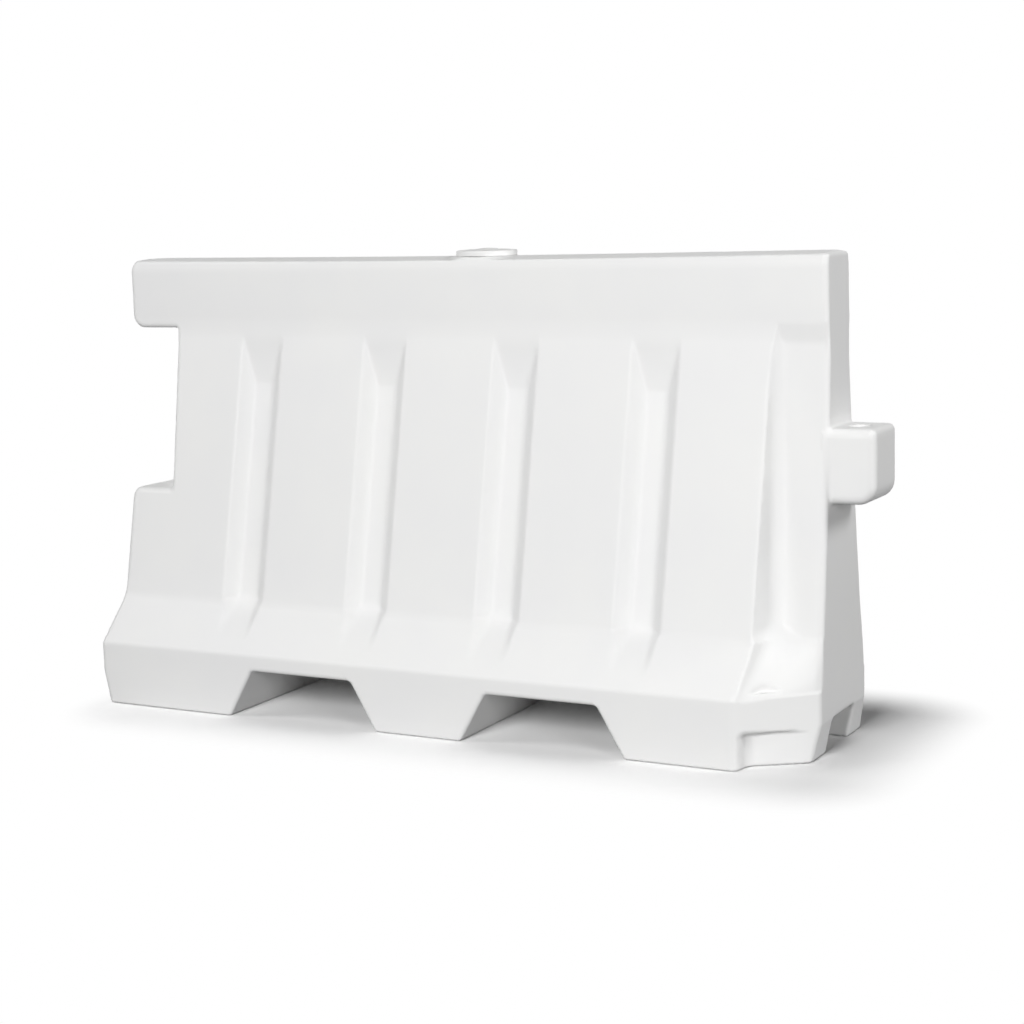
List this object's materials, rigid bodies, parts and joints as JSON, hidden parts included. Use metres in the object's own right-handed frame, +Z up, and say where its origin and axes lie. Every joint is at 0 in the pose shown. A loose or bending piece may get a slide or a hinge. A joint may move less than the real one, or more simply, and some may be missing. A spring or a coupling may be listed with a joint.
{
  "type": "water-filled road barrier",
  "caption": "Hollow white plastic road barrier with ribbed sloped sides, fork tunnels, a coupling lug and slot, a screwed filler cap and a drain plug.",
  "frame": {"origin": "on the ground under the middle of the overall length, lug included, and in the middle of the width", "axes": "+X along the barrier from the overhang to the coupling lug, +Y across it towards the side away from the camera, +Z up"},
  "size_m": [1.268, 0.382, 0.7185],
  "materials": {
    "shell": "satin white rotomoulded polyethylene",
    "cap": "satin white moulded polyethylene",
    "insert": "white moulded polypropylene",
    "plug": "satin white moulded polypropylene",
    "seal": "matt black rubber"
  },
  "bodies": {
    "tank": {"tank_shell": "shell", "filler_collar": "insert", "drain_fitting": "insert"},
    "filler_seal_ring": {"filler_seal": "seal"},
    "filler_screw_cap": {"filler_cap": "cap"},
    "drain_seal_ring": {"drain_seal": "seal"},
    "drain_screw_plug": {"drain_plug": "plug"}
  },
  "joints": [
    {"name": "filler_lift", "type": "slide", "parent": "tank", "child": "filler_seal_ring", "axis": [0, 0, 1], "range_m": [0, 0.024]},
    {"name": "filler_turn", "type": "hinge", "parent": "filler_seal_ring", "child": "filler_screw_cap", "pos_m": [0.008, 0, 0.708], "axis": [0, 0, 1], "range_deg": [0, 2160]},
    {"name": "drain_lift", "type": "slide", "parent": "tank", "child": "drain_seal_ring", "axis": [1, 0, 0], "range_m": [0, 0.016]},
    {"name": "drain_turn", "type": "hinge", "parent": "drain_seal_ring", "child": "drain_screw_plug", "pos_m": [0.511, 0, 0.027], "axis": [1, 0, 0], "range_deg": [0, 1440]}
  ],
  "couplings": [
    {"joint": "filler_lift", "follows": "filler_turn", "m_per_rad": 0.00063662},
    {"joint": "drain_lift", "follows": "drain_turn", "m_per_rad": 0.00063662}
  ]
}
